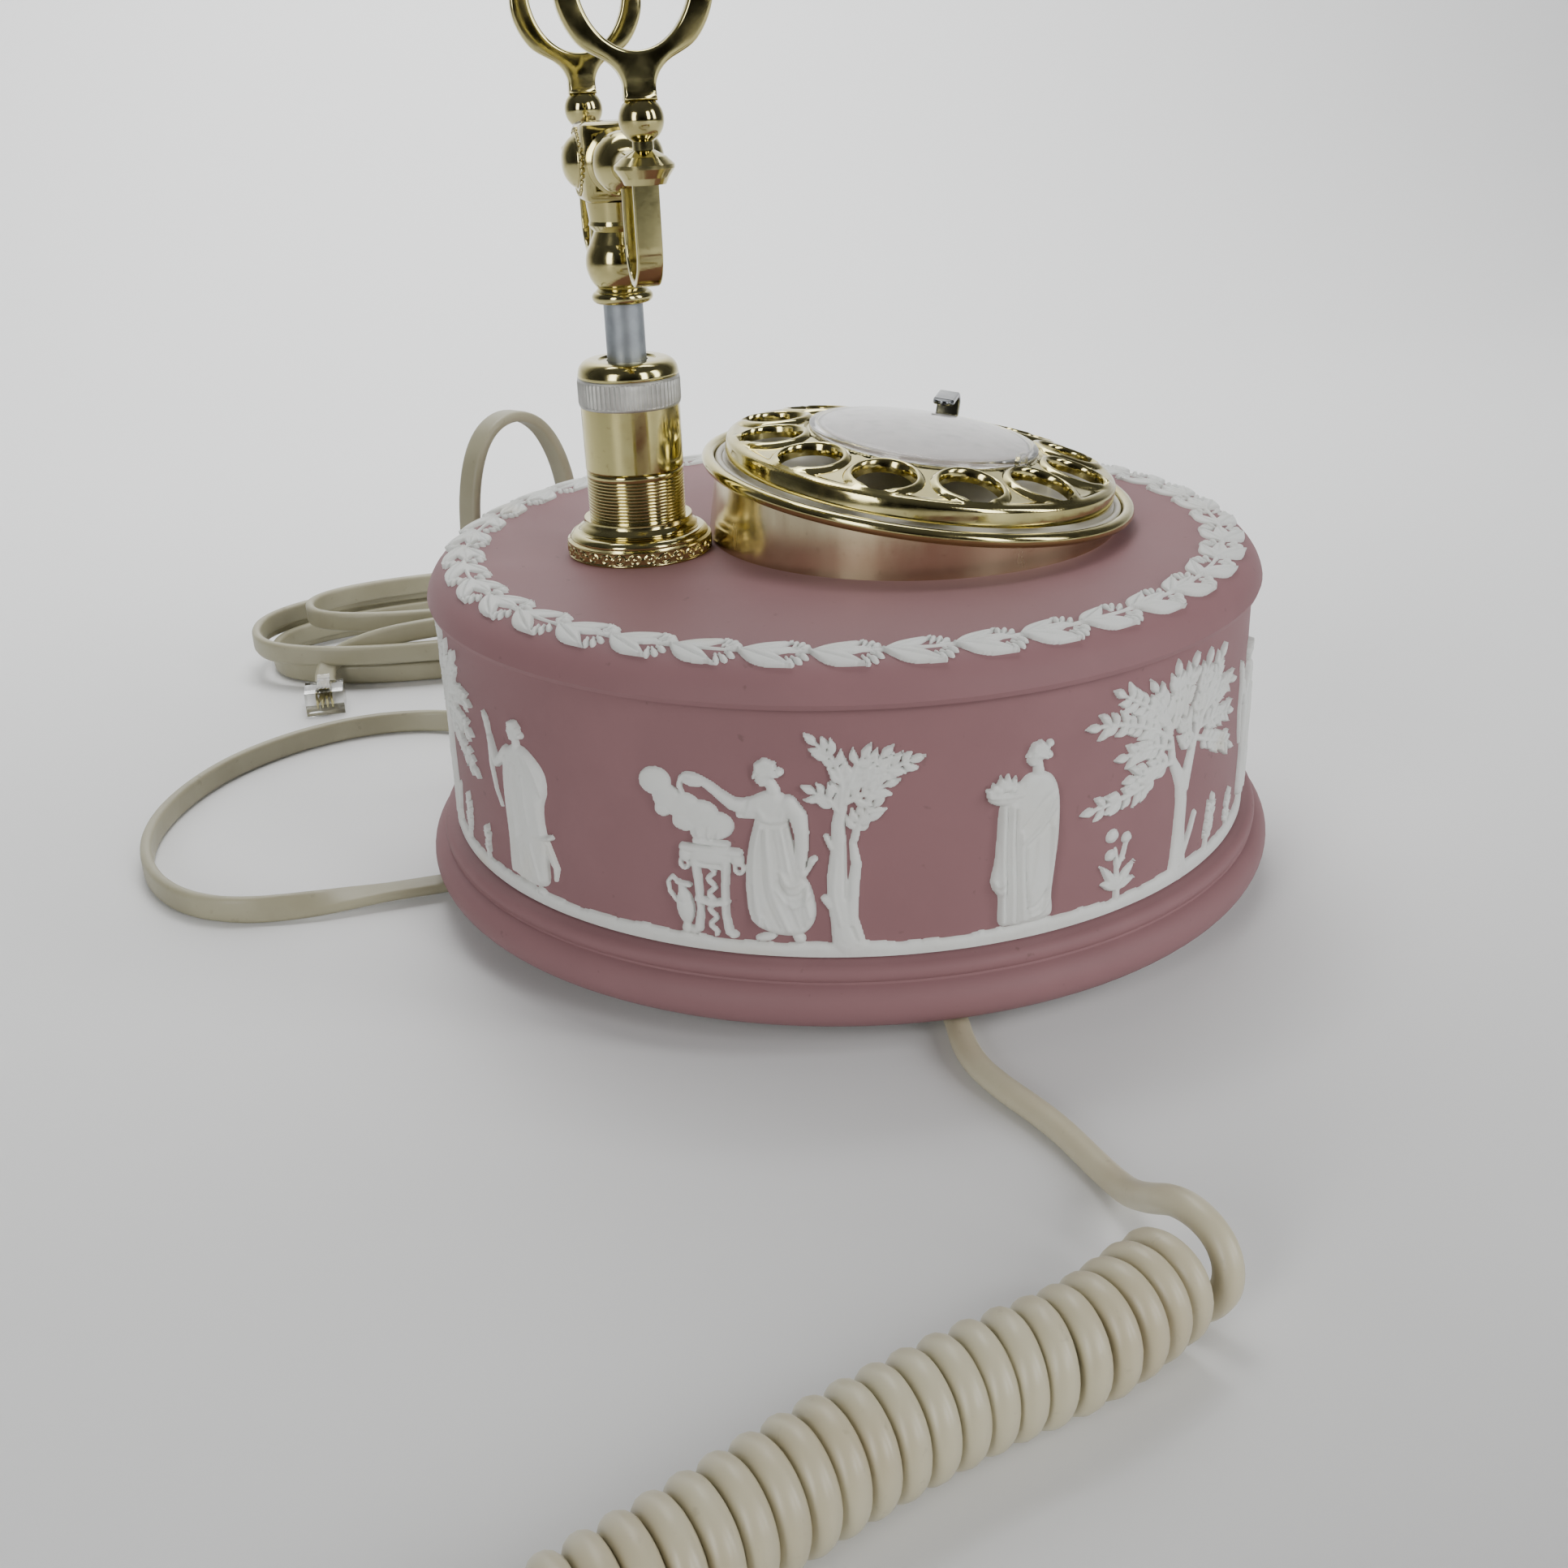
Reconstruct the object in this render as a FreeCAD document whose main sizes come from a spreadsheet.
"""French-cradle telephone on a round ceramic drum, with a rotary dial set in its top.

Frame: millimetres, +Z up, the origin on the table under the middle of the drum. The dial faces -Y and the
column that carries the handset cradle stands at +Y. The handset lies on the table beside the telephone.
"""
import FreeCAD
import Part
import Sketcher
import math
import os

from FreeCAD import Placement, Rotation, Vector

SIZES = {
    # ceramic drum
    "flange_radius": 86.0, "flange_bottom": 5.2, "wall_radius": 79.8, "shoulder_radius": 81.5,
    "ledge_height": 16.8, "shoulder_height": 61.0, "top_height": 68.3, "inner_radius": 74.3,
    "ceiling_height": 62.3, "plate_top": 6.6, "plate_radius": 76.5, "foot_height": 5.0,
    "foot_circle": 62.0, "boss_circle": 69.5, "dial_well_radius": 36.0, "relief_thickness": 0.9,
    # column
    "column_offset": 39.9, "bush_radius": 6.4, "tube_radius": 9.2, "tube_bore": 8.0,
    "flange_foot_radius": 13.9, "tube_foot": 75.3, "tube_seam": 84.5, "knurl_foot": 96.3,
    "knurl_top": 101.7, "cap_top": 104.8, "rod_radius": 3.65, "rod_tip": 32.0,
    # cradle
    "cradle_turn": 1.5, "vase_foot": 114.9, "block_foot": 132.5, "block_width": 12.6, "block_height": 13.3,
    "arm_height": 139.3, "arm_reach": 33.0, "collar_height": 137.2, "ball_height": 146.9,
    "ball_radius": 3.65, "fork_foot": 149.6, "fork_thickness": 2.8, "strap_width": 4.3, "strap_thickness": 1.3,
    # dial, in its own frame: the middle of the rim's plane is its origin
    "dial_offset": 16.1, "dial_height": 77.3, "dial_tilt": 8.5, "dial_turn": -17.0, "rim_radius": 42.9,
    "drum_radius": 40.0, "wheel_radius": 38.5, "hole_circle": 30.5, "finger_hole": 5.7,
    "first_hole_angle": 47.0, "stop_angle": -8.0, "wheel_top": 7.9, "cover_radius": 22.7, "shaft_radius": 3.0,
    # gear train of the dial
    "gear_module": 0.8, "main_teeth": 48.0, "pinion_teeth": 12.0,
    # handset
    "handset_x": -268.0, "handset_y": -19.0, "grip_height": 36.0, "cup_offset": 84.0,
    # cords
    "handset_cord_thickness": 4.3, "coil_thickness": 15.8, "line_cord_thickness": 4.6, "hank_height": 19.0,
}

doc = FreeCAD.newDocument("telephone")
sheet = doc.addObject("Spreadsheet::Sheet", "Sizes")
for row, (alias, number) in enumerate(SIZES.items(), start=1):
    sheet.set(f"A{row}", alias)
    sheet.set(f"B{row}", str(number))
    sheet.setAlias(f"B{row}", alias)
doc.recompute()

nodes = {}


def size(spec):
    """The number that a size stands for: a number, a cell's alias, or an alias with an offset."""
    if isinstance(spec, str):
        return SIZES[spec]
    if isinstance(spec, tuple):
        return SIZES[spec[0]] + spec[1]
    return float(spec)


def bind(thing, name, spec):
    """Set one property or constraint of a feature, and tie it to the sheet where the size comes from there."""
    if isinstance(spec, str):
        thing.setExpression(name, f"Sizes.{spec}")
    elif isinstance(spec, tuple):
        thing.setExpression(name, f"Sizes.{spec[0]} + ({spec[1]})")


def keep(thing, label, placement=None):
    """Name a finished sub-part; its label is the name of its file."""
    thing.Label = label
    if placement is not None:
        thing.Placement = placement * thing.Placement
    nodes[label] = thing
    return thing


def origin_plane(body, role):
    return next(feature for feature in body.Origin.OriginFeatures if feature.Role == role)


def new_sketch(body, name, role, height=0.0):
    sketch = body.newObject("Sketcher::SketchObject", name)
    sketch.AttachmentSupport = [(origin_plane(body, role), "")]
    sketch.MapMode = "FlatFace"
    sketch.AttachmentOffset = Placement(Vector(0, 0, size(height)), Rotation())
    if isinstance(height, (str, tuple)):
        bind(sketch, "AttachmentOffset.Base.z", height)
    return sketch


def pin_point(sketch, edge, end, across, up):
    """Hold one corner of an outline at its two coordinates."""
    for kind, spec in (("DistanceX", across), ("DistanceY", up)):
        if size(spec) == 0.0:
            axis = -2 if kind == "DistanceX" else -1
            sketch.addConstraint(Sketcher.Constraint("PointOnObject", edge, end, axis))
            continue
        index = sketch.addConstraint(Sketcher.Constraint(kind, edge, end, size(spec)))
        bind(sketch, f"Constraints[{index}]", spec)


def outline(sketch, corners):
    """A closed outline. A corner is (across, up), or (across, up, middle) where an arc starts there."""
    ends = []
    for number, corner in enumerate(corners):
        following = corners[(number + 1) % len(corners)]
        start = Vector(size(corner[0]), size(corner[1]), 0)
        stop = Vector(size(following[0]), size(following[1]), 0)
        if len(corner) == 2:
            ends.append((sketch.addGeometry(Part.LineSegment(start, stop)), 1, 2))
            continue
        middle = Vector(size(corner[2][0]), size(corner[2][1]), 0)
        turn = (middle - start).cross(stop - middle).z
        first, last = (1, 2) if turn > 0 else (2, 1)
        edge = sketch.addGeometry(Part.Arc(start, middle, stop))
        sketch.addConstraint(Sketcher.Constraint("Radius", edge, sketch.Geometry[edge].Radius))
        ends.append((edge, first, last))
    for number, corner in enumerate(corners):
        edge, first, _ = ends[number]
        before, _, last = ends[number - 1]
        sketch.addConstraint(Sketcher.Constraint("Coincident", before, last, edge, first))
        pin_point(sketch, edge, first, corner[0], corner[1])


def turned(label, corners, placement=None):
    """A body turned about its own Z axis from an outline of (radius, height) corners."""
    body = doc.addObject("PartDesign::Body", label)
    sketch = new_sketch(body, f"{label}_outline", "XZ_Plane")
    outline(sketch, corners)
    revolution = body.newObject("PartDesign::Revolution", f"{label}_turned")
    revolution.Profile = sketch
    revolution.ReferenceAxis = (sketch, ["V_Axis"])
    revolution.Angle = 360.0
    sketch.Visibility = False
    return keep(body, label, placement)


def circle_sketch(body, name, circles, height):
    """Circles on a level plane of the body, each as (x, y, radius)."""
    sketch = new_sketch(body, name, "XY_Plane", height)
    for x, y, radius in circles:
        edge = sketch.addGeometry(Part.Circle(Vector(size(x), size(y), 0), Vector(0, 0, 1), size(radius)))
        pin_point(sketch, edge, 3, x, y)
        index = sketch.addConstraint(Sketcher.Constraint("Radius", edge, size(radius)))
        bind(sketch, f"Constraints[{index}]", radius)
    return sketch


def pocket(body, name, sketch, depth):
    """Cut downward from a level sketch."""
    cut = body.newObject("PartDesign::Pocket", name)
    cut.Profile = sketch
    cut.Length = size(depth)
    bind(cut, "Length", depth)
    return cut


def pad(body, name, sketch, length):
    """Build upward from a level sketch."""
    raised = body.newObject("PartDesign::Pad", name)
    raised.Profile = sketch
    raised.Length = size(length)
    bind(raised, "Length", length)
    return raised


def around(body, name, feature, sketch, count, angle=360.0):
    """Repeat a feature about the sketch's normal."""
    pattern = body.newObject("PartDesign::PolarPattern", name)
    pattern.Originals = [feature]
    pattern.Axis = (sketch, ["N_Axis"])
    pattern.Angle = angle
    pattern.Occurrences = count
    body.Tip = pattern
    return pattern


def cylinder(name, radius, height, base, axis=Vector(0, 0, 1)):
    thing = doc.addObject("Part::Cylinder", name)
    for key, spec in (("Radius", radius), ("Height", height)):
        setattr(thing, key, size(spec))
        bind(thing, key, spec)
    thing.Placement = Placement(Vector(*[size(v) for v in base]), Rotation(Vector(0, 0, 1), axis))
    return thing


def box(name, lengths, corner):
    thing = doc.addObject("Part::Box", name)
    for key, spec in zip(("Length", "Width", "Height"), lengths):
        setattr(thing, key, size(spec))
        bind(thing, key, spec)
    thing.Placement = Placement(Vector(*[size(v) for v in corner]), Rotation())
    return thing


def fused(name, pieces):
    thing = doc.addObject("Part::MultiFuse", name)
    thing.Shapes = pieces
    thing.Refine = True
    return thing


def cut_from(name, base, tool):
    thing = doc.addObject("Part::Cut", name)
    thing.Base = base
    thing.Tool = tool
    return thing


def group(name, pieces):
    """Separate solids that share one node."""
    thing = doc.addObject("Part::Compound", name)
    thing.Links = pieces
    return thing


def made(name, shape):
    """A sub-part whose shape is worked out here with Part's own functions."""
    thing = doc.addObject("Part::Feature", name)
    thing.Shape = shape
    return thing


def turned_shape(corners):
    """A plain turned solid about Z from (radius, height) corners, an arc where a corner names a middle."""
    edges = []
    for number, corner in enumerate(corners):
        following = corners[(number + 1) % len(corners)]
        start = Vector(corner[0], 0, corner[1])
        stop = Vector(following[0], 0, following[1])
        if len(corner) == 3:
            edges.append(Part.Arc(start, Vector(corner[2][0], 0, corner[2][1]), stop).toShape())
        else:
            edges.append(Part.LineSegment(start, stop).toShape())
    return Part.Face(Part.Wire(edges)).revolve(Vector(), Vector(0, 0, 1), 360)


def spring_coil(radius, pitch, height, wire):
    """An eight-sided wire wound round Z from the origin up."""
    corners = []
    for step in range(9):
        turn = math.radians(45 * step)
        corners.append(Vector(radius + wire * math.cos(turn), 0, wire * math.sin(turn)))
    helix = Part.Wire(Part.makeHelix(pitch, height, radius))
    return helix.makePipeShell([Part.makePolygon(corners)], True, True)


def at_angle(radius, angle, height=0.0):
    turn = math.radians(angle)
    return Vector(radius * math.cos(turn), radius * math.sin(turn), height)


# ---------------------------------------------------------------- ceramic drum and its relief

BOSS = at_angle(SIZES["boss_circle"], 45)


def ceramic_drum():
    """The hollow drum: rounded shoulder, plain wall, ledge, groove and rounded flange, open underneath."""
    body = turned("ceramic_body", [
        (0, "ceiling_height"), (0, "top_height"),
        (73.0, "top_height", (79.3, ("top_height", -2.1))),
        ("shoulder_radius", ("shoulder_height", 1.2)),
        (("shoulder_radius", -0.3), ("shoulder_height", 0.3)),
        ("wall_radius", "shoulder_height"), ("wall_radius", "ledge_height"),
        (82.2, ("ledge_height", -0.7), (83.4, ("ledge_height", -2.0))),
        (83.2, ("ledge_height", -3.3)),
        (83.3, ("ledge_height", -3.7), ("flange_radius", 9.2)),
        (83.4, "flange_bottom"), (77.0, "flange_bottom"), (77.0, "plate_top"), ("inner_radius", "plate_top"),
        ("inner_radius", ("ceiling_height", -4.0), (("inner_radius", -1.2), ("ceiling_height", -1.2))),
        (("inner_radius", -4.0), "ceiling_height"),
    ])
    boss = circle_sketch(body, "boss_circle_sketch", [(BOSS.x, BOSS.y, 5.5)], "plate_top")
    raised = pad(body, "screw_boss", boss, 15.0)
    around(body, "screw_bosses", raised, boss, 4)
    hole = circle_sketch(body, "boss_hole_sketch", [(BOSS.x, BOSS.y, 1.6)], ("plate_top", 12.0))
    drilled = pocket(body, "screw_hole", hole, 12.0)
    around(body, "screw_holes", drilled, hole, 4)
    openings = circle_sketch(body, "top_openings_sketch", [
        (0, -SIZES["dial_offset"], "dial_well_radius"), (0, "column_offset", ("bush_radius", 0.2)),
    ], ("top_height", 1.0))
    pocket(body, "top_openings", openings, 10.0)


RELIEF_FIGURES = (
    # direction of the middle, width in degrees, foot and top
    (120.8, 10.8, 19.0, 50.7), (113.3, 2.6, 33.0, 47.0), (106.4, 6.0, 19.0, 29.0),
    (145.5, 3.4, 19.0, 28.4), (149.6, 7.7, 19.0, 36.0), (146.8, 11.5, 36.0, 48.6),
    (157.7, 8.6, 19.0, 52.0), (150.5, 7.6, 43.7, 48.0),
    (165.6, 3.9, 19.0, 45.0), (167.9, 15.0, 43.0, 56.0),
    (187.9, 8.2, 19.0, 51.0), (184.7, 4.4, 42.0, 47.0), (201.4, 5.8, 19.0, 31.6),
    (213.3, 3.7, 19.0, 40.0), (212.3, 34.0, 36.0, 59.0), (224.5, 15.0, 19.0, 28.0),
)
RELIEF_SCENES = 3


def relief_patch(radius, thickness, middle, width, foot, top):
    """A thin curved plate that backs onto the wall."""
    outer = Part.makeCylinder(radius + thickness, top - foot, Vector(0, 0, foot), Vector(0, 0, 1), width)
    inner = Part.makeCylinder(radius, top - foot, Vector(0, 0, foot), Vector(0, 0, 1), 360)
    patch = outer.cut(inner)
    patch.rotate(Vector(0, 0, 0), Vector(0, 0, 1), middle - width / 2)
    return patch


def wall_relief():
    """The white ground line round the foot of the wall, with the outlines of the figures and trees on it."""
    wall = SIZES["wall_radius"]
    thickness = SIZES["relief_thickness"]
    foot = SIZES["ledge_height"] + 0.1
    line_height = 2.6
    ring = Part.makeCylinder(wall + thickness, line_height, Vector(0, 0, foot))
    relief = ring.cut(Part.makeCylinder(wall, line_height, Vector(0, 0, foot)))
    patches = []
    for scene in range(RELIEF_SCENES):
        turn = scene * 360.0 / RELIEF_SCENES
        for middle, width, low, high in RELIEF_FIGURES:
            patches.append(relief_patch(wall, thickness, middle + turn, width, low, high))
    relief = relief.multiFuse(patches).removeSplitter()
    keep(made("wall_relief_shape", relief), "wall_relief")


def shoulder_garland():
    """The white garland: a low band that follows the rounded shoulder."""
    top = SIZES["top_height"]
    shoulder = SIZES["shoulder_radius"]
    band = turned_shape([
        (70.0, top - 6.0), (70.0, top + 1.0), (75.0, top + 1.0, (79.9, top - 1.2)), (82.2, top - 4.6),
        (78.0, top - 6.0),
    ])
    drum = turned_shape([
        (0, 40.0), (0, top), (73.0, top, (79.3, top - 2.1)), (shoulder, SIZES["shoulder_height"] + 1.2),
        (shoulder, 40.0),
    ])
    keep(made("garland_shape", band.cut(drum)), "shoulder_garland")


# ---------------------------------------------------------------- underside

def underside():
    plate = turned("base_plate", [
        (0, "foot_height"), ("plate_radius", "foot_height"), ("plate_radius", "plate_top"), (0, "plate_top"),
    ])
    screw_hole = circle_sketch(plate, "plate_screw_sketch", [(BOSS.x, BOSS.y, 1.65)], ("plate_top", 0.5))
    drilled = pocket(plate, "plate_screw_hole", screw_hole, 3.0)
    around(plate, "plate_screw_holes", drilled, screw_hole, 4)
    first_foot = at_angle(SIZES["foot_circle"], 20)
    foot_hole = circle_sketch(plate, "plate_foot_sketch", [(first_foot.x, first_foot.y, 2.45)], ("plate_top", 0.5))
    foot_cut = pocket(plate, "plate_foot_hole", foot_hole, 3.0)
    around(plate, "plate_foot_holes", foot_cut, foot_hole, 4)
    slots = circle_sketch(plate, "plate_cord_sketch", [(-66, 0, 3.1), (0, 66, 3.1)], ("plate_top", 0.5))
    pocket(plate, "plate_cord_holes", slots, 3.0)

    feet = []
    screws = []
    for quarter in range(4):
        spot = at_angle(SIZES["foot_circle"], 20 + 90 * quarter)
        foot = doc.addObject("Part::Cone", f"foot_{quarter}")
        foot.Radius1 = 6.0
        foot.Radius2 = 7.0
        foot.Height = SIZES["foot_height"]
        foot.setExpression("Height", "Sizes.foot_height")
        foot.Placement = Placement(spot, Rotation())
        stud = cylinder(f"foot_stud_{quarter}", 2.4, 2.8, (spot.x, spot.y, "foot_height"))
        feet.append(fused(f"foot_with_stud_{quarter}", [foot, stud]))
        place = at_angle(SIZES["boss_circle"], 45 + 90 * quarter)
        head = cylinder(f"screw_head_{quarter}", 3.0, 1.8, (place.x, place.y, ("foot_height", -1.8)))
        shank = cylinder(f"screw_shank_{quarter}", 1.5, 12.0, (place.x, place.y, "foot_height"))
        screws.append(fused(f"screw_{quarter}", [head, shank]))
    keep(group("feet_group", feet), "rubber_feet")
    keep(group("screw_group", screws), "base_screws")

    for label, turn in (("handset_cord_gland", 180), ("line_cord_gland", 90)):
        boot = box(f"{label}_boot", (16.0, 9.0, 4.6), (58.0, -4.5, 0.4))
        rounded = doc.addObject("Part::Fillet", f"{label}_rounded")
        rounded.Base = boot
        rounded.Edges = [(edge, 1.2, 1.2) for edge in (1, 3, 5, 7)]
        stem = cylinder(f"{label}_stem", 3.0, 3.4, (66.0, 0, ("foot_height", 0)))
        head = cylinder(f"{label}_head", 4.4, 1.6, (66.0, 0, ("plate_top", 0.0)))
        gland = fused(f"{label}_pieces", [rounded, stem, head])
        keep(gland, label, Placement(Vector(), Rotation(Vector(0, 0, 1), turn)))


# ---------------------------------------------------------------- column and hook plunger

COLUMN = Placement(Vector(0, SIZES["column_offset"], 0), Rotation())
CRADLE = Placement(Vector(0, SIZES["column_offset"], 0), Rotation(Vector(0, 0, 1), SIZES["cradle_turn"]))


def column():
    turned("column_flange", [
        (("bush_radius", 0.1), "top_height"), ("flange_foot_radius", "top_height"),
        ("flange_foot_radius", ("top_height", 2.9)),
        (13.2, ("top_height", 3.9), (11.6, ("top_height", 4.6))), (10.7, ("top_height", 6.0)),
        (10.4, "tube_foot"), (("bush_radius", 0.1), "tube_foot"),
    ], COLUMN)
    turned("column_lower_tube", [
        ("tube_bore", "tube_foot"), ("tube_radius", "tube_foot"), ("tube_radius", ("tube_seam", -0.3)),
        (("tube_radius", -0.2), "tube_seam"), ("tube_bore", "tube_seam"),
    ], COLUMN)
    turned("column_upper_tube", [
        ("tube_bore", "tube_seam"), (("tube_radius", -0.1), "tube_seam"),
        (("tube_radius", 0.1), ("tube_seam", 0.3)), (("tube_radius", 0.1), "knurl_foot"),
        ("tube_bore", "knurl_foot"),
    ], COLUMN)
    turned("knurled_cap", [
        ("tube_bore", "knurl_foot"), (("tube_radius", 0.4), "knurl_foot"),
        (("tube_radius", 0.4), "knurl_top"), (("tube_radius", 0.1), ("knurl_top", 0.2)),
        (("tube_radius", 0.1), ("knurl_top", 0.9), (("tube_radius", -0.5), ("knurl_top", 2.3))),
        (("tube_radius", -2.2), "cap_top"), (("rod_radius", 0.1), "cap_top"),
        (("rod_radius", 0.1), ("knurl_top", 0.6)), ("tube_bore", ("knurl_top", 0.6)),
    ], COLUMN)
    turned("plunger_bush", [
        (("rod_radius", 0.06), ("ceiling_height", -3.0)), (11.0, ("ceiling_height", -3.0)),
        (11.0, "ceiling_height"), ("bush_radius", "ceiling_height"), ("bush_radius", ("knurl_foot", -1.5)),
        (("rod_radius", 0.06), ("knurl_foot", -1.5)),
    ], COLUMN)


def hook_switch():
    """The bracket under the rod, its return spring, and the lever that the rod's tip pushes down."""
    middle = SIZES["column_offset"]
    pivot = Vector(0, middle + 17.6, 29.5)
    foot = box("bracket_foot", (18.0, 29.0, 1.5), (-9.0, 32.0, "plate_top"))
    left = box("bracket_left", (1.5, 28.0, 31.4), (-9.0, 33.0, ("plate_top", 1.5)))
    right = box("bracket_right", (1.5, 28.0, 31.4), (7.5, 33.0, ("plate_top", 1.5)))
    shelf = box("bracket_shelf", (15.0, 15.0, 1.5), (-7.5, 33.0, 38.0))
    bracket = fused("bracket_pieces", [foot, left, right, shelf])
    rod_hole = cylinder("bracket_rod_hole", ("rod_radius", 0.4), 4.0, (0, middle, 37.0))
    pin_hole = cylinder("bracket_pin_hole", 1.5, 20.0, (-10.0, pivot.y, pivot.z), Vector(1, 0, 0))
    drilled = cut_from("bracket_drilled", bracket, rod_hole)
    keep(cut_from("bracket_finished", drilled, pin_hole), "hookswitch_frame")
    keep(cylinder("lever_pin_rod", 1.5, 18.0, (-9.0, pivot.y, pivot.z), Vector(1, 0, 0)), "lever_pin")

    blade = box("lever_blade", (10.0, 21.5, 1.5), (-5.0, pivot.y - 21.5, 30.2))
    barrel = cylinder("lever_barrel", 3.0, 13.0, (-6.5, pivot.y, pivot.z), Vector(1, 0, 0))
    lever = fused("lever_pieces", [blade, barrel])
    bore = cylinder("lever_bore", 1.56, 20.0, (-10.0, pivot.y, pivot.z), Vector(1, 0, 0))
    keep(cut_from("lever_bored", lever, bore), "hookswitch_lever")

    keep(made("hook_spring_wire", spring_coil(5.6, 3.28, 16.4, 0.5)), "hook_spring",
         Placement(Vector(0, middle, 40.1), Rotation()))


def plunger_rod():
    turned("plunger_rod", [
        (0, "rod_tip", (1.06, ("rod_tip", 0.44))), (1.5, ("rod_tip", 1.5)), (1.5, ("rod_tip", 2.5)),
        ("rod_radius", ("rod_tip", 4.6)), ("rod_radius", ("vase_foot", 5.0)), (0, ("vase_foot", 5.0)),
    ], COLUMN)
    turned("rod_collar", [
        ("rod_radius", 57.3), (7.0, 57.3), (7.0, 59.2), ("rod_radius", 59.2),
    ], COLUMN)


# ---------------------------------------------------------------- cradle

def vase_and_block():
    turned("vase_stem", [
        (0, ("vase_foot", 5.0)), ("rod_radius", ("vase_foot", 5.0)), ("rod_radius", "vase_foot"),
        (4.9, "vase_foot", (5.6, ("vase_foot", 1.0))), (4.9, ("vase_foot", 2.0)),
        (4.4, ("vase_foot", 2.6), (6.2, ("vase_foot", 6.6))), (5.2, ("vase_foot", 10.4)),
        (4.3, ("vase_foot", 12.5)), (5.2, ("vase_foot", 13.6)), (5.0, ("vase_foot", 14.3)),
        (5.4, "block_foot"), (0, "block_foot"),
    ], CRADLE)
    half = SIZES["block_width"] / 2
    block = box("block_body", ("block_width", "block_width", "block_height"), (-half, -half, "block_foot"))
    bevelled = doc.addObject("Part::Chamfer", "block_bevelled")
    bevelled.Base = block
    bevelled.Edges = [(edge, 1.4, 1.4) for edge in (2, 4, 6, 8, 9, 10, 11, 12)]
    keep(bevelled, "cradle_block", CRADLE)
    bosses = []
    for side in (-1, 1):
        dome = doc.addObject("Part::Sphere", f"boss_dome_{side + 1}")
        dome.Radius = 6.2
        dome.Placement = Placement(Vector(0, side * (half - 3.4), SIZES["arm_height"]), Rotation())
        trim = box(f"boss_trim_{side + 1}", (14.0, 4.0, 14.0),
                   (-7.0, half if side > 0 else -half - 4.0, ("arm_height", -7.0)))
        boss = doc.addObject("Part::Common", f"boss_{side + 1}")
        boss.Base = dome
        boss.Tool = trim
        bosses.append(boss)
    keep(group("boss_group", bosses), "side_bosses", CRADLE)


def cradle_arm():
    """The cross arm: a stepped hub against each side of the block, tapering to the collars at its ends."""
    half = SIZES["block_width"] / 2
    reach = SIZES["arm_reach"]
    tapered = turned_shape([
        (0, half), (5.7, half), (5.7, half + 1.4), (5.0, half + 1.8), (5.0, half + 3.4, (5.3, half + 6.4)),
        (3.0, half + 10.5), (2.0, reach - 6.0), (2.0, reach), (0, reach),
    ])
    limbs = []
    for side in (-1, 1):
        limb = tapered.copy()
        limb.Placement = Placement(Vector(0, 0, SIZES["arm_height"]), Rotation(Vector(0, 1, 0), side * 90))
        limbs.append(limb)
    keep(made("arm_shape", Part.makeCompound(limbs)), "cradle_arm", CRADLE)
    return limbs


def cradle_ends(limbs):
    """At each end of the arm a turned finial, a scroll strap under it, and a fork on top of it."""
    reach = SIZES["arm_reach"]
    collar = SIZES["collar_height"]
    ball = SIZES["ball_height"]
    radius = SIZES["ball_radius"]
    lower = ball - math.sqrt(radius ** 2 - 1.7 ** 2)
    upper = SIZES["fork_foot"]
    top_radius = math.sqrt(radius ** 2 - (upper - ball) ** 2)
    finial = turned_shape([
        (0, collar), (3.4, collar), (3.9, collar + 1.0), (4.9, collar + 2.4), (4.9, collar + 3.0),
        (3.6, collar + 4.2), (1.7, collar + 5.2), (1.7, lower, (radius, ball)), (top_radius, upper), (0, upper),
    ])
    finials = []
    straps = []
    for side, limb in zip((-1, 1), limbs):
        one = finial.copy()
        one.translate(Vector(side * reach, 0, 0))
        finials.append(one.cut(limb))
        straps.append(scroll_strap(side))
    keep(made("finial_shapes", Part.makeCompound(finials)), "cradle_finials", CRADLE)
    keep(made("strap_shapes", Part.makeCompound(straps)), "cradle_scrolls", CRADLE)
    for label, side in (("fork_near", -1), ("fork_far", 1)):
        plate = fork_plate()
        plate.translate(Vector(side * reach, 0, 0))
        keep(made(f"{label}_shape", plate), label, CRADLE)


def scroll_strap(side):
    """A flat strap bent to a U: down from the collar, round, and back up under the arm."""
    outer = SIZES["arm_reach"] + 0.6
    inner = outer - 13.0
    wide = (outer - inner) / 2
    thick = SIZES["strap_thickness"]
    top = SIZES["collar_height"]
    inner_top = SIZES["arm_height"] - 3.3
    bend = 120.6 + wide
    half = SIZES["strap_width"] / 2
    middle = outer - wide
    edges = [
        Part.LineSegment(Vector(outer, -half, top), Vector(outer, -half, bend)).toShape(),
        Part.Arc(Vector(outer, -half, bend), Vector(middle, -half, bend - wide),
                 Vector(inner, -half, bend)).toShape(),
        Part.LineSegment(Vector(inner, -half, bend), Vector(inner, -half, inner_top)).toShape(),
        Part.LineSegment(Vector(inner, -half, inner_top), Vector(inner + thick, -half, inner_top)).toShape(),
        Part.LineSegment(Vector(inner + thick, -half, inner_top), Vector(inner + thick, -half, bend)).toShape(),
        Part.Arc(Vector(inner + thick, -half, bend), Vector(middle, -half, bend - wide + thick),
                 Vector(outer - thick, -half, bend)).toShape(),
        Part.LineSegment(Vector(outer - thick, -half, bend), Vector(outer - thick, -half, top)).toShape(),
        Part.LineSegment(Vector(outer - thick, -half, top), Vector(outer, -half, top)).toShape(),
    ]
    strap = Part.Face(Part.Wire(edges)).extrude(Vector(0, 2 * half, 0))
    if side < 0:
        strap.rotate(Vector(), Vector(0, 0, 1), 180)
    return strap


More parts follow.
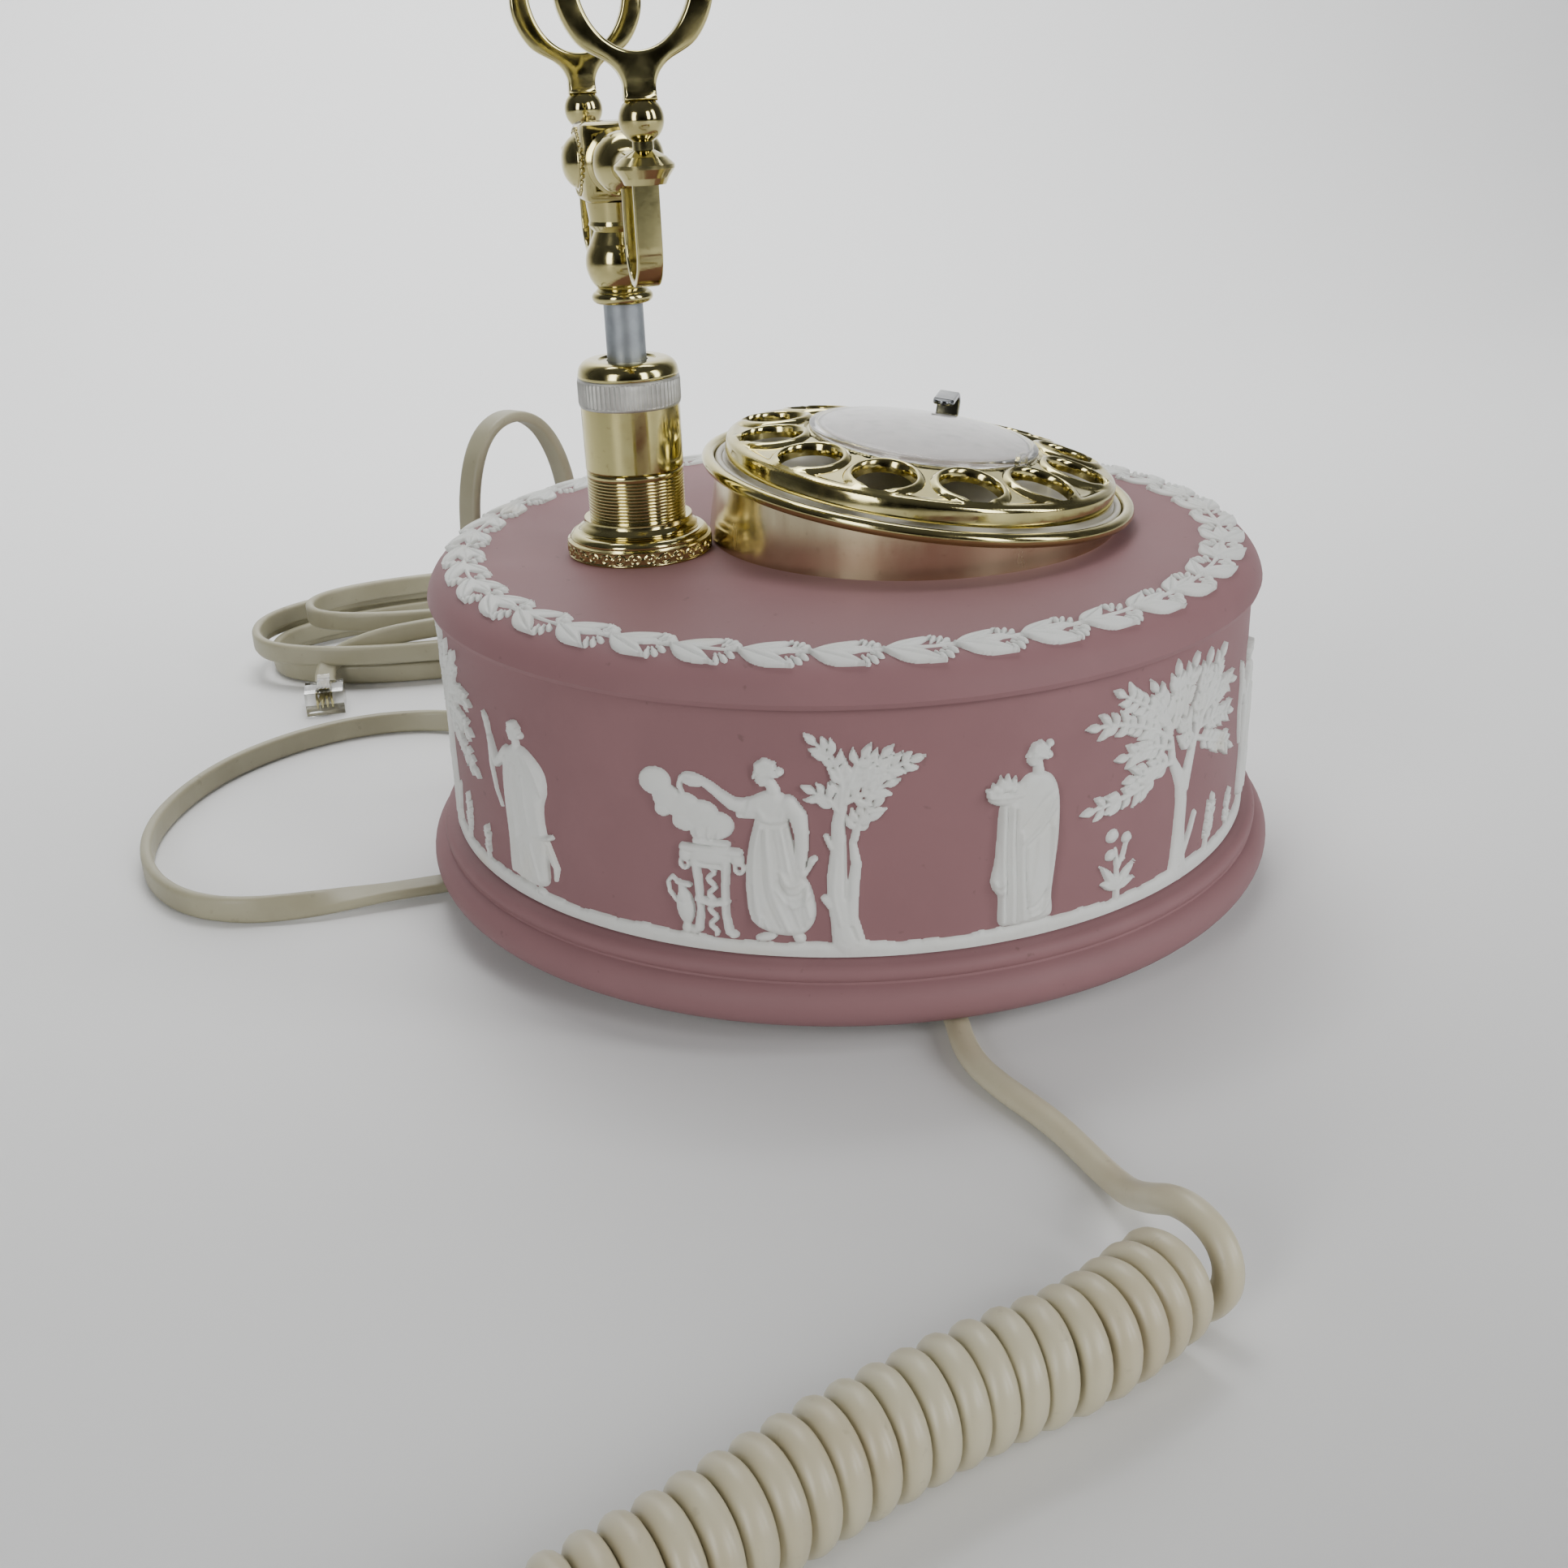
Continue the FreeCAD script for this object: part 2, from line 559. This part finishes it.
def fork_plate():
    """A flat lyre: a stem that opens into an oval ring, closed by a saddle with a horn on each side."""
    foot = SIZES["fork_foot"]
    thick = SIZES["fork_thickness"]
    right_side = [
        Vector(0, 2.65, foot), Vector(0, 2.75, foot + 3.0), Vector(0, 4.6, foot + 5.6), Vector(0, 9.4, foot + 8.6),
        Vector(0, 12.2, foot + 14.0), Vector(0, 12.1, foot + 20.5), Vector(0, 11.2, foot + 26.5),
        Vector(0, 13.6, foot + 32.5), Vector(0, 17.6, foot + 38.5), Vector(0, 18.6, foot + 43.5),
    ]
    horn_tip = Vector(0, 16.6, foot + 45.6)
    horn_inside = Vector(0, 14.6, foot + 43.0)
    saddle = Vector(0, 0, foot + 30.4)
    shoulder = Vector(0, 11.4, foot + 36.4)

    def mirror(point):
        return Vector(point.x, -point.y, point.z)

    side = Part.BSplineCurve()
    side.interpolate(right_side)
    other = Part.BSplineCurve()
    other.interpolate([mirror(point) for point in right_side])
    seat = Part.BSplineCurve()
    seat.interpolate([horn_inside, shoulder, saddle, mirror(shoulder), mirror(horn_inside)])
    edges = [
        side.toShape(),
        Part.Arc(right_side[-1], horn_tip, horn_inside).toShape(),
        seat.toShape(),
        Part.Arc(mirror(horn_inside), mirror(horn_tip), mirror(right_side[-1])).toShape(),
        other.toShape(),
        Part.LineSegment(mirror(right_side[0]), right_side[0]).toShape(),
    ]
    plate = Part.Face(Part.Wire(Part.__sortEdges__(edges)))
    solid = plate.extrude(Vector(thick, 0, 0))
    solid.translate(Vector(-thick / 2, 0, 0))
    core = Part.makeCylinder(8.9, thick + 2)
    stretch = FreeCAD.Matrix()
    stretch.scale(1.22, 1.0, 1.0)
    core = core.transformGeometry(stretch)
    core.rotate(Vector(), Vector(0, 1, 0), 90)
    core.translate(Vector(-thick / 2 - 1, 0, foot + 18.2))
    return solid.cut(core)


# ---------------------------------------------------------------- dial

DIAL_MIDDLE = Vector(0, -SIZES["dial_offset"], SIZES["dial_height"])
DIAL = Placement(DIAL_MIDDLE, Rotation(Vector(0, 0, 1), SIZES["dial_turn"])
                 * Rotation(Vector(1, 0, 0), SIZES["dial_tilt"]))


def dial_case():
    """The wedge-shaped drum that the dial sits in: a tube on the dial's axis, cut level with the ceramic."""
    tube = Part.makeCylinder(SIZES["drum_radius"], 24.0, Vector(0, 0, -25.0))
    tube = tube.cut(Part.makeCylinder(SIZES["drum_radius"] - 1.6, 30.0, Vector(0, 0, -27.0)))
    tube.Placement = DIAL
    level = Part.makeBox(200, 200, 60, Vector(-100, -100, SIZES["top_height"] - 60))
    keep(made("drum_wedge", tube.cut(level)), "dial_housing")
    turned("dial_rim", [
        (("drum_radius", -1.6), -1.0), (("rim_radius", -0.6), -1.0), ("rim_radius", -0.4), ("rim_radius", 0.3),
        (("rim_radius", -0.6), 0.9), (("rim_radius", -1.6), 0.9), (("rim_radius", -2.2), 0.3),
        (("drum_radius", -0.9), 0.3), (("drum_radius", -0.9), -0.2), (("drum_radius", -1.6), -0.2),
    ], DIAL)
    turned("dial_plate", [
        (("shaft_radius", 1.0), -1.4), (38.2, -1.4), (38.2, -0.2), (38.9, -0.2), (38.9, 0.4),
        (("shaft_radius", 1.0), 0.4),
    ], DIAL)
    frame = turned("dial_frame", [
        (("shaft_radius", 0.06), -11.0), (5.0, -11.0), (5.0, -8.0), (33.0, -8.0), (33.0, -6.5),
        (("shaft_radius", 0.06), -6.5),
    ], DIAL)
    posts = circle_sketch(frame, "dial_post_sketch", [(24.0, 0, 2.0)], -6.5)
    post = pad(frame, "dial_post", posts, 5.1)
    around(frame, "dial_posts", post, posts, 3)

    middle = SIZES["stop_angle"]
    foot = box("stop_foot", (1.2, 5.0, 10.3), (39.2, -2.5, 0.3))
    reach = box("stop_reach", (12.4, 4.4, 1.2), (28.0, -2.2, 9.4))
    tip = cylinder("stop_tip", 2.2, 1.2, (28.0, 0, 9.4))
    keep(fused("stop_pieces", [foot, reach, tip]), "finger_stop",
         DIAL * Placement(Vector(), Rotation(Vector(0, 0, 1), middle)))


def finger_wheel():
    wheel = turned("finger_wheel", [
        (0, ("wheel_top", -1.4)), (22.0, ("wheel_top", -1.4)), (("wheel_radius", -2.6), 3.6),
        (("wheel_radius", -1.2), 2.3), (("wheel_radius", -1.2), 1.3), ("wheel_radius", 1.3),
        ("wheel_radius", 2.8, (("wheel_radius", -0.7), 4.4)), (("wheel_radius", -2.4), 5.2),
        (23.2, "wheel_top"), (0, "wheel_top"),
    ], DIAL)
    first = at_angle(SIZES["hole_circle"], SIZES["first_hole_angle"])
    hole = circle_sketch(wheel, "finger_hole_sketch", [(first.x, first.y, "finger_hole")], ("wheel_top", 1.0))
    cut = pocket(wheel, "finger_hole", hole, 8.0)
    around(wheel, "finger_holes", cut, hole, 10, 270.0)
    turned("number_card", [
        (0, "wheel_top"), (21.0, "wheel_top"), (21.0, ("wheel_top", 0.3)), (0, ("wheel_top", 0.3)),
    ], DIAL)
    turned("clear_cover", [
        (("cover_radius", -1.4), "wheel_top"), (("cover_radius", -0.2), "wheel_top"),
        ("cover_radius", ("wheel_top", 0.5)), (("cover_radius", -0.4), ("wheel_top", 1.0)),
        (15.0, ("wheel_top", 2.0)), (8.0, ("wheel_top", 2.5)), (0, ("wheel_top", 2.7)),
        (0, ("wheel_top", 1.9)), (8.0, ("wheel_top", 1.7)), (15.0, ("wheel_top", 1.2)),
        (("cover_radius", -1.4), ("wheel_top", 0.5)),
    ], DIAL)
    clip = box("clip_body", (1.2, 2.4, 2.4), (22.75, -1.2, 8.05))
    keep(clip, "cover_clip", DIAL * Placement(Vector(), Rotation(Vector(0, 0, 1), -128)))


def toothed(teeth, module, thickness, bore, foot):
    """A spur gear with straight-flanked teeth, slimmer than half the pitch so that it runs free."""
    pitch = teeth * module / 2
    tip = pitch + 0.72 * module
    root = pitch - 0.95 * module
    step = 360.0 / teeth
    corners = []
    for tooth in range(int(teeth)):
        turn = tooth * step
        for radius, share in ((root, -0.24), (tip, -0.09), (tip, 0.09), (root, 0.24)):
            corners.append(at_angle(radius, turn + share * step, foot))
    corners.append(corners[0])
    solid = Part.Face(Part.makePolygon(corners)).extrude(Vector(0, 0, thickness))
    return solid.cut(Part.makeCylinder(bore, thickness + 2, Vector(0, 0, foot - 1)))


def dial_train():
    """Shaft, main gear, governor pinion with its weights, and the spring that turns the dial back."""
    module = SIZES["gear_module"]
    spacing = (SIZES["main_teeth"] + SIZES["pinion_teeth"]) * module / 2 + 0.15
    turned("dial_shaft", [
        (0, -16.6), ("shaft_radius", -16.6), ("shaft_radius", ("wheel_top", -1.4)), (0, ("wheel_top", -1.4)),
    ], DIAL)
    gear = toothed(SIZES["main_teeth"], module, 2.0, SIZES["shaft_radius"], -16.4)
    keep(made("main_gear_shape", gear), "dial_gear", DIAL)
    half_step = 180.0 / SIZES["pinion_teeth"]
    side = Placement(Vector(-spacing, 0, 0), Rotation())
    pinion = toothed(SIZES["pinion_teeth"], module, 2.6, 0.9, -16.7)
    pinion.rotate(Vector(), Vector(0, 0, 1), half_step)
    keep(made("pinion_shape", pinion), "governor_pinion", DIAL * side)
    weights = turned_shape([
        (0, -22.6), (0.9, -22.6), (0.9, -21.0), (5.5, -21.0), (5.5, -18.6), (0.9, -18.6), (0.9, -8.4), (0, -8.4),
    ])
    keep(made("weights_shape", weights), "governor_weights", DIAL * side)
    cup = turned_shape([
        (1.0, -24.0), (8.0, -24.0), (8.0, -17.6), (7.0, -17.6), (7.0, -23.0), (1.0, -23.0),
    ])
    keep(made("cup_shape", cup), "governor_cup", DIAL * side)
    spring = spring_coil(6.4, 1.0, 4.0, 0.35)
    spring.translate(Vector(0, 0, -13.2))
    keep(made("dial_spring_wire", spring), "dial_spring", DIAL)


# ---------------------------------------------------------------- inside the drum

def ringer():
    """Two bells, a two-coil magnet and the clapper that swings between the bells."""
    bells = []
    for side in (-1, 1):
        bell = turned_shape([
            (2.0, 29.0), (2.0, 30.2), (8.0, 30.2, (14.6, 28.0)), (17.0, 20.0), (15.8, 20.0, (13.6, 27.2)),
            (7.8, 29.0),
        ])
        post = Part.makeCylinder(2.0, 26.0, Vector(0, 0, SIZES["plate_top"]))
        whole = bell.fuse(post)
        whole.translate(Vector(side * 22.5, -40.0, 0))
        bells.append(whole)
    keep(made("bell_shapes", Part.makeCompound(bells)), "ringer_gongs")
    foot = box("ringer_foot", (34.0, 14.0, 1.6), (-17.0, -14.0, "plate_top"))
    back = box("ringer_back", (34.0, 1.6, 24.0), (-17.0, -1.6, ("plate_top", 1.6)))
    hinge = cylinder("ringer_hinge", 1.4, 22.4, (0, -11.0, ("plate_top", 1.6)))
    keep(fused("ringer_frame_pieces", [foot, back, hinge]), "ringer_frame")
    coils = []
    for side in (-1, 1):
        coils.append(cylinder(f"coil_{side + 1}", 5.0, 8.0, (side * 10.5, -1.6, 22.0), Vector(0, -1, 0)))
    keep(group("coil_group", coils), "ringer_coils")
    arm = box("clapper_arm", (1.6, 27.0, 1.6), (-0.8, -40.0, 24.0))
    hub = cylinder("clapper_hub", 2.6, 4.0, (0, -11.0, 22.8))
    ball = doc.addObject("Part::Sphere", "clapper_ball")
    ball.Radius = 3.0
    ball.Placement = Placement(Vector(0, -40.0, 24.8), Rotation())
    solid = fused("clapper_pieces", [arm, hub, ball])
    bore = cylinder("clapper_bore", 1.46, 8.0, (0, -11.0, 20.8))
    keep(cut_from("clapper_bored", solid, bore), "ringer_clapper")


def circuit_board():
    board = box("board_plate", (28.0, 42.0, 1.6), (28.0, -4.0, 12.6))
    posts = [cylinder(f"board_post_{x}_{y}", 2.0, 6.0, (x, y, "plate_top")) for x in (32, 52) for y in (0, 34)]
    block = box("board_terminals", (8.0, 26.0, 9.0), (31.0, 4.0, 14.2))
    capacitor = cylinder("board_capacitor", 5.0, 16.0, (49.0, 14.0, 14.2))
    keep(fused("board_pieces", [board, block, capacitor] + posts), "circuit_board")


# ---------------------------------------------------------------- handset

HANDSET = Placement(Vector(SIZES["handset_x"], SIZES["handset_y"], 0), Rotation(Vector(0, 0, 1), 90))


def along(placement, height):
    """Turn a part from its own Z axis to the handset's length at a height."""
    return placement * Placement(Vector(0, 0, height), Rotation(Vector(0, 1, 0), 90))


def handset():
    """The handset, lying with its cups down: a barrel grip, ferrules, two cups with screwed caps."""
    height = SIZES["grip_height"]
    offset = SIZES["cup_offset"]
    lengthwise = along(HANDSET, height)
    turned("handset_grip", [
        (0, -64.0), (10.4, -64.0, (13.0, 0)), (10.4, 64.0), (0, 64.0),
    ], lengthwise)
    ferrule = turned_shape([
        (0, 64.0), (11.2, 64.0), (11.8, 65.2), (11.2, 66.6), (10.0, 67.4), (10.6, 69.0), (9.6, 71.0), (0, 71.0),
    ])
    pair = []
    for side in (-1, 1):
        one = ferrule.copy()
        one.rotate(Vector(), Vector(0, 1, 0), 90 * side)
        one.translate(Vector(0, 0, height))
        pair.append(one)
    keep(made("ferrule_shapes", Part.makeCompound(pair)), "handset_ferrules", HANDSET)
    shell = turned_shape([
        (22.6, 4.0), (26.0, 4.0), (26.0, 8.0), (24.8, 9.4, (21.0, 17.4)), (12.0, 21.4), (9.6, 25.4),
        (11.4, 30.0), (11.8, height, (8.2, height + 8.2)), (0, height + 11.4), (0, 26.0), (7.0, 23.0),
        (10.0, 19.6, (18.8, 15.8)), (22.6, 8.4),
    ])
    shell.rotate(Vector(), Vector(0, 0, 1), 90)
    stub = Part.makeCylinder(8.8, 13.0, Vector(0, 0, height), Vector(1, 0, 0))
    capsules = []
    caps = []
    for label, side in (("ear_cup", -1), ("mouth_cup", 1)):
        neck = stub.copy()
        if side > 0:
            neck.rotate(Vector(), Vector(0, 0, 1), 180)
        cup = shell.fuse(neck).removeSplitter()
        cup.translate(Vector(side * offset, 0, 0))
        keep(made(f"{label}_shape", cup), label, HANDSET)
        cap = turned_shape([
            (0, 1.6), (17.0, 1.6, (21.5, 1.2)), (24.0, 0.0), (25.4, 0.0), (26.4, 1.0), (26.4, 4.0), (22.6, 4.0),
            (20.0, 4.0), (17.0, 3.2), (0, 3.2),
        ])
        for ring in range(6):
            spot = at_angle(8.0, 60 * ring)
            cap = cap.cut(Part.makeCylinder(1.4, 6.0, Vector(spot.x, spot.y, 0)))
        cap.translate(Vector(side * offset, 0, 0))
        caps.append(cap)
        capsule = turned_shape([(0, 4.2), (19.5, 4.2), (19.5, 9.0), (14.0, 12.4), (0, 12.4)])
        capsule.translate(Vector(side * offset, 0, 0))
        capsules.append(capsule)
    keep(made("cap_shapes", Part.makeCompound(caps)), "handset_caps", HANDSET)
    keep(made("capsule_shapes", Part.makeCompound(capsules)), "handset_capsules", HANDSET)
    boot = turned_shape([(0, 0), (3.6, 0), (3.6, 3.0), (2.6, 10.0), (0, 10.0)])
    boot.rotate(Vector(), Vector(0, 1, 0), 90)
    boot.translate(Vector(offset + 24.6, 0, 7.8))
    keep(made("boot_shape", boot), "handset_gland", HANDSET)


# ---------------------------------------------------------------- cords

HANDSET_LEAD = [
    (-74.0, 0.5, 2.3), (-80.0, 1.3, 2.3), (-87.0, 2.4, 2.3), (-94.0, 2.3, 2.3), (-101.0, 0.4, 2.3),
    (-108.0, -2.4, 2.3), (-115.0, -4.6, 2.3), (-122.0, -5.9, 2.3), (-128.5, -8.2, 2.3), (-135.0, -11.8, 2.3),
    (-141.5, -14.4, 2.4), (-148.0, -14.2, 3.0), (-152.6, -10.6, 4.8), (-154.6, -6.2, 6.6),
]
HANDSET_COIL = [
    (-154.6, -5.6, 8.0), (-160.6, 3.9, 8.0), (-165.4, 14.2, 8.0), (-167.7, 25.5, 8.0), (-171.4, 36.6, 8.0),
    (-175.6, 47.6, 8.0), (-180.6, 58.4, 8.0), (-185.8, 69.2, 8.0), (-190.4, 80.4, 8.0), (-195.2, 92.0, 8.0),
    (-203.2, 103.6, 8.0), (-214.0, 112.8, 8.0), (-227.0, 119.0, 8.0), (-240.0, 121.5, 8.0),
]
HANDSET_TAIL = [
    (-240.0, 121.5, 7.6), (-246.5, 121.8, 6.4), (-254.0, 119.6, 4.4), (-261.0, 114.4, 3.8),
    (-265.8, 107.4, 5.2), (-267.9, 100.7, 7.4),
]
LINE_CORD = [
    (0.0, 74.0, 2.5), (-0.8, 85.0, 2.5), (-1.6, 99.0, 2.5), (-3.2, 113.0, 2.5), (-2.2, 126.0, 2.5),
    (4.5, 136.5, 2.5), (15.5, 143.4, 2.5), (29.0, 147.0, 2.5), (44.0, 147.0, 2.5), (60.0, 142.6, 2.5),
    (75.5, 134.0, 2.5), (87.0, 121.6, 2.5), (93.8, 107.6, 2.5), (95.4, 94.2, 2.5), (92.6, 82.0, 2.6),
    (86.0, 74.0, 3.4), (77.0, 70.4, 7.2), (68.0, 70.4, 15.0), (61.6, 71.2, 27.0), (58.4, 71.4, 41.0),
    (57.8, 70.8, 56.0), (58.4, 69.8, 70.0), (62.0, 66.0, 80.2), (67.6, 59.4, 83.6), (73.6, 52.4, 80.0),
    (77.6, 47.8, 70.2), (78.8, 46.0, 57.0), (79.8, 45.0, 43.0), (83.0, 44.4, 28.6), (89.4, 43.6, 15.4),
    (98.8, 42.6, 6.0), (110.0, 42.4, 2.7), (124.0, 43.4, 2.6),
]


def tube(label, points, thickness):
    """A round tube along straight runs joined by tangent arcs, each as large as its two runs allow."""
    corners = [Vector(*point) for point in points]
    edges = []
    radii = []
    start = corners[0]
    for before, corner, after in zip(corners, corners[1:], corners[2:]):
        into = corner - before
        out = after - corner
        half_turn = into.getAngle(out) / 2
        cut = 0.45 * min(into.Length, out.Length)
        radii.append(cut / math.tan(half_turn))
        first = corner - into.normalize() * cut
        last = corner + out.normalize() * cut
        inward = (first + last) * 0.5 - corner
        radius = radii[-1]
        middle = corner + inward.normalize() * radius * (1 / math.cos(half_turn) - 1)
        edges.append(Part.LineSegment(start, first).toShape())
        edges.append(Part.Arc(first, middle, last).toShape())
        start = last
    edges.append(Part.LineSegment(start, corners[-1]).toShape())
    path = Part.Wire(edges)
    heading = corners[1] - corners[0]
    section = Part.Wire([Part.makeCircle(thickness / 2, corners[0], heading)])
    solid = path.makePipeShell([section], True, True)
    expected = math.pi * (thickness / 2) ** 2 * path.Length
    print(f"{label}: length {path.Length:.0f}, smallest radius {min(radii):.1f}, "
          f"volume {solid.Volume:.0f} against {expected:.0f}")
    keep(made(f"{label}_tube", solid), label)
    return path.Length


def cords():
    tube("handset_cord_lead", HANDSET_LEAD, SIZES["handset_cord_thickness"])
    tube("handset_cord_coil", HANDSET_COIL, SIZES["coil_thickness"])
    tube("handset_cord_tail", HANDSET_TAIL, SIZES["handset_cord_thickness"])
    tube("line_cord_run", LINE_CORD, SIZES["line_cord_thickness"])

    hank_radius = 33.0
    hank_x = 157.0
    near_y = 104.0
    far_y = 27.0
    ends = []
    for label, y in (("near", near_y), ("far", far_y)):
        ends.append(cylinder(f"hank_end_{label}", hank_radius, ("hank_height", -0.2), (hank_x, y, 0.2)))
    core = box("hank_core", (2 * hank_radius, near_y - far_y, ("hank_height", -0.2)),
               (hank_x - hank_radius, far_y, 0.2))
    keep(fused("hank_pieces", ends + [core]), "line_cord_hank")
    shell = box("plug_shell", (12.0, 9.8, 6.6), (112.6, 106.6, 0.3))
    latch = box("plug_latch", (9.0, 3.2, 1.4), (114.6, 109.9, 6.9))
    keep(fused("plug_pieces", [shell, latch]), "line_plug")


ceramic_drum()
wall_relief()
shoulder_garland()
underside()
column()
hook_switch()
plunger_rod()
vase_and_block()
cradle_ends(cradle_arm())
dial_case()
finger_wheel()
dial_train()
ringer()
circuit_board()
handset()
cords()

doc.recompute()
for thing in doc.Objects:
    if "Invalid" in thing.State or "Error" in thing.State:
        raise RuntimeError(f"{thing.Name} failed: {thing.State}")
for label, thing in nodes.items():
    if thing.Shape.isNull() or not thing.Shape.isValid() or not thing.Shape.Solids:
        raise RuntimeError(f"{label} has no valid solid")

os.makedirs("parts", exist_ok=True)
for label, thing in nodes.items():
    thing.Shape.exportStep(f"parts/{label}.step")
print(len(nodes), "sub-parts written")
